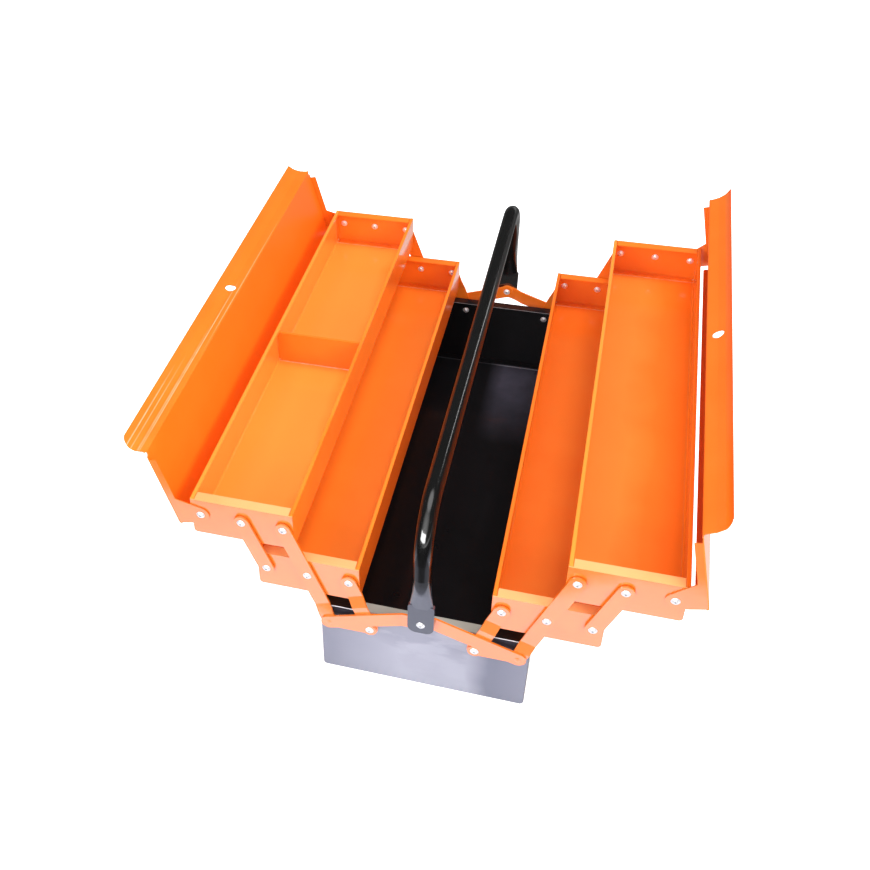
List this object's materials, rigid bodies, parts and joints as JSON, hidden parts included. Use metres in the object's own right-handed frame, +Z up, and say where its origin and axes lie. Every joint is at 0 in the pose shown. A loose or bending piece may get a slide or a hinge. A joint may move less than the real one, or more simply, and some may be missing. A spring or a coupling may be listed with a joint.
{
  "type": "cantilever tool box",
  "caption": "Open cantilever tool box with orange steel trays on swinging arms, hinged lids, a black base tray and a tubular carrying handle.",
  "frame": {"origin": "centre of the underside of the base tray", "axes": "+Z up, +Y along the box from its front end to its rear end, +X to the right"},
  "size_m": [0.5221, 0.573, 0.2872],
  "materials": {
    "orange_paint": "gloss",
    "black_paint": "gloss",
    "black_gloss": "gloss",
    "rivet_steel": "satin"
  },
  "bodies": {
    "base": {"base_trough": "black_paint", "base_end_front": "black_paint", "base_end_rear": "black_paint", "base_pivot_rivets": "rivet_steel", "base_pivot_spacers": "rivet_steel", "lever_front_left": "orange_paint", "lever_front_right": "orange_paint", "lever_rear_left": "orange_paint", "lever_rear_right": "orange_paint", "handle_rivets": "rivet_steel"},
    "handle_body": {"handle": "black_gloss"},
    "left_arms": {"left_long_arm_front": "orange_paint", "left_long_arm_rear": "orange_paint"},
    "left_lower_links": {"left_lower_link_front": "orange_paint", "left_lower_link_rear": "orange_paint"},
    "left_inner_tray": {"left_inner_tray_trough": "orange_paint", "left_inner_tray_end_front": "orange_paint", "left_inner_tray_end_rear": "orange_paint", "left_inner_tray_rivets": "rivet_steel", "left_inner_tray_washers": "rivet_steel"},
    "left_upper_links": {"left_upper_link_front": "orange_paint", "left_upper_link_rear": "orange_paint"},
    "left_outer_tray": {"left_outer_tray_trough": "orange_paint", "left_outer_tray_end_front": "orange_paint", "left_outer_tray_end_rear": "orange_paint", "left_outer_tray_rivets": "rivet_steel", "left_outer_tray_washers": "rivet_steel", "left_outer_tray_divider": "orange_paint"},
    "left_lid": {"left_lid_panel": "orange_paint", "left_lid_bracket_front": "orange_paint", "left_lid_bracket_rear": "orange_paint"},
    "right_arms": {"right_long_arm_front": "orange_paint", "right_long_arm_rear": "orange_paint"},
    "right_lower_links": {"right_lower_link_front": "orange_paint", "right_lower_link_rear": "orange_paint"},
    "right_inner_tray": {"right_inner_tray_trough": "orange_paint", "right_inner_tray_end_front": "orange_paint", "right_inner_tray_end_rear": "orange_paint", "right_inner_tray_rivets": "rivet_steel", "right_inner_tray_washers": "rivet_steel"},
    "right_upper_links": {"right_upper_link_front": "orange_paint", "right_upper_link_rear": "orange_paint"},
    "right_outer_tray": {"right_outer_tray_trough": "orange_paint", "right_outer_tray_end_front": "orange_paint", "right_outer_tray_end_rear": "orange_paint", "right_outer_tray_rivets": "rivet_steel", "right_outer_tray_washers": "rivet_steel"},
    "right_lid": {"right_lid_panel": "orange_paint", "right_lid_bracket_front": "orange_paint", "right_lid_bracket_rear": "orange_paint"}
  },
  "joints": [
    {"name": "handle_swing", "type": "hinge", "parent": "base", "child": "handle_body", "pos_m": [0, 0, 0.108], "axis": [0, 1, 0], "range_deg": [-30, 30]},
    {"name": "left_arms_swing", "type": "hinge", "parent": "base", "child": "left_arms", "pos_m": [-0.09, 0, 0.077], "axis": [0, 1, 0], "range_deg": [0, 62.77]},
    {"name": "left_lower_links_swing", "type": "hinge", "parent": "base", "child": "left_lower_links", "pos_m": [-0.05, 0, 0.077], "axis": [0, 1, 0], "range_deg": [-0.5, 63.27]},
    {"name": "left_inner_tray_level", "type": "hinge", "parent": "left_arms", "child": "left_inner_tray", "pos_m": [-0.11083, 0, 0.1327], "axis": [0, 1, 0], "range_deg": [-63.27, 0.5]},
    {"name": "left_upper_links_swing", "type": "hinge", "parent": "left_inner_tray", "child": "left_upper_links", "pos_m": [-0.15082, 0, 0.1327], "axis": [0, 1, 0], "range_deg": [-0.5, 63.27]},
    {"name": "left_outer_tray_level", "type": "hinge", "parent": "left_arms", "child": "left_outer_tray", "pos_m": [-0.13165, 0, 0.1884], "axis": [0, 1, 0], "range_deg": [-63.27, 0.5]},
    {"name": "left_lid_swing", "type": "hinge", "parent": "left_outer_tray", "child": "left_lid", "pos_m": [-0.21165, 0, 0.1884], "axis": [0, 1, 0], "range_deg": [0, 103]},
    {"name": "right_arms_swing", "type": "hinge", "parent": "base", "child": "right_arms", "pos_m": [0.09, 0, 0.077], "axis": [0, -1, 0], "range_deg": [0, 62.77]},
    {"name": "right_lower_links_swing", "type": "hinge", "parent": "base", "child": "right_lower_links", "pos_m": [0.05, 0, 0.077], "axis": [0, -1, 0], "range_deg": [-0.5, 63.27]},
    {"name": "right_inner_tray_level", "type": "hinge", "parent": "right_arms", "child": "right_inner_tray", "pos_m": [0.11083, 0, 0.1327], "axis": [0, -1, 0], "range_deg": [-63.27, 0.5]},
    {"name": "right_upper_links_swing", "type": "hinge", "parent": "right_inner_tray", "child": "right_upper_links", "pos_m": [0.15082, 0, 0.1327], "axis": [0, -1, 0], "range_deg": [-0.5, 63.27]},
    {"name": "right_outer_tray_level", "type": "hinge", "parent": "right_arms", "child": "right_outer_tray", "pos_m": [0.13165, 0, 0.1884], "axis": [0, -1, 0], "range_deg": [-63.27, 0.5]},
    {"name": "right_lid_swing", "type": "hinge", "parent": "right_outer_tray", "child": "right_lid", "pos_m": [0.21165, 0, 0.1884], "axis": [0, -1, 0], "range_deg": [-28.5, 74.5]}
  ],
  "couplings": [
    {"joint": "left_lower_links_swing", "follows": "left_arms_swing", "ratio": 1},
    {"joint": "left_inner_tray_level", "follows": "left_arms_swing", "ratio": -1},
    {"joint": "left_upper_links_swing", "follows": "left_arms_swing", "ratio": 1},
    {"joint": "left_outer_tray_level", "follows": "left_arms_swing", "ratio": -1},
    {"joint": "right_lower_links_swing", "follows": "right_arms_swing", "ratio": 1},
    {"joint": "right_inner_tray_level", "follows": "right_arms_swing", "ratio": -1},
    {"joint": "right_upper_links_swing", "follows": "right_arms_swing", "ratio": 1},
    {"joint": "right_outer_tray_level", "follows": "right_arms_swing", "ratio": -1}
  ]
}
